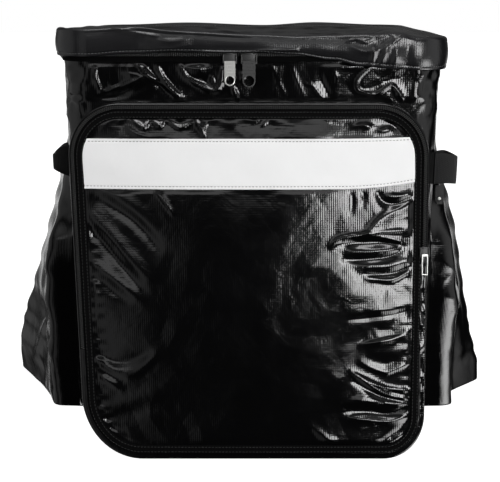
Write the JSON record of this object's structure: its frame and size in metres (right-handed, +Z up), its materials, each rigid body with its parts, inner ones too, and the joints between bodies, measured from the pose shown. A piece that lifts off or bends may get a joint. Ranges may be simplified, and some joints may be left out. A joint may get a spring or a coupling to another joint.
{
  "type": "insulated delivery backpack",
  "caption": "Black glossy insulated box backpack with a capped lid, rounded front pocket, white reflective band and flared expanding sides.",
  "frame": {"origin": "centre of the body's flat base, on the surface that the bag stands on", "axes": "+X to the right as seen from the front pocket, -Y out of the front pocket, +Z up"},
  "size_m": [0.558, 0.4824, 0.4234],
  "materials": {
    "glossy_tarpaulin": "glossy coated cloth with a fine grid",
    "matte_binding": "matte woven tape",
    "zipper_tape": "woven tape with a nylon coil",
    "reflective_white": "satin white tape",
    "webbing": "ribbed nylon webbing",
    "padded_mesh": "padded cloth",
    "black_plastic": "moulded",
    "bright_metal": "worn nickel",
    "dark_metal": "black lacquer"
  },
  "bodies": {
    "bag": {"body_shell": "glossy_tarpaulin", "lid": "glossy_tarpaulin", "main_zipper": "zipper_tape", "front_pocket": "glossy_tarpaulin", "pocket_binding": "matte_binding", "pocket_zipper": "zipper_tape", "reflective_band": "reflective_white", "side_gusset_left": "glossy_tarpaulin", "side_gusset_right": "glossy_tarpaulin", "side_loop_left": "webbing", "side_loop_right": "webbing", "strap_tongue": "webbing", "tongue_rivet": "bright_metal", "main_slider_left": "dark_metal", "main_slider_right": "dark_metal", "pocket_slider": "dark_metal", "shoulder_strap_left": "padded_mesh", "ladder_lock_left": "black_plastic", "lower_webbing_left": "webbing", "shoulder_strap_right": "padded_mesh", "ladder_lock_right": "black_plastic", "lower_webbing_right": "webbing", "haul_handle": "webbing"},
    "left_pull": {"main_pull_left": "bright_metal"},
    "right_pull": {"main_pull_right": "dark_metal"},
    "pocket_tab": {"pocket_pull": "bright_metal"}
  },
  "joints": [
    {"name": "left_pull_hinge", "type": "hinge", "parent": "bag", "child": "left_pull", "pos_m": [-0.022, -0.1689, 0.3895], "axis": [-1, 0, 0], "range_deg": [0, 90]},
    {"name": "right_pull_hinge", "type": "hinge", "parent": "bag", "child": "right_pull", "pos_m": [-0.003, -0.1689, 0.3895], "axis": [-1, 0, 0], "range_deg": [0, 90]},
    {"name": "pocket_tab_hinge", "type": "hinge", "parent": "bag", "child": "pocket_tab", "pos_m": [0.17135, -0.21728, 0.20522], "axis": [-1, 0, 0], "range_deg": [0, 150]}
  ]
}
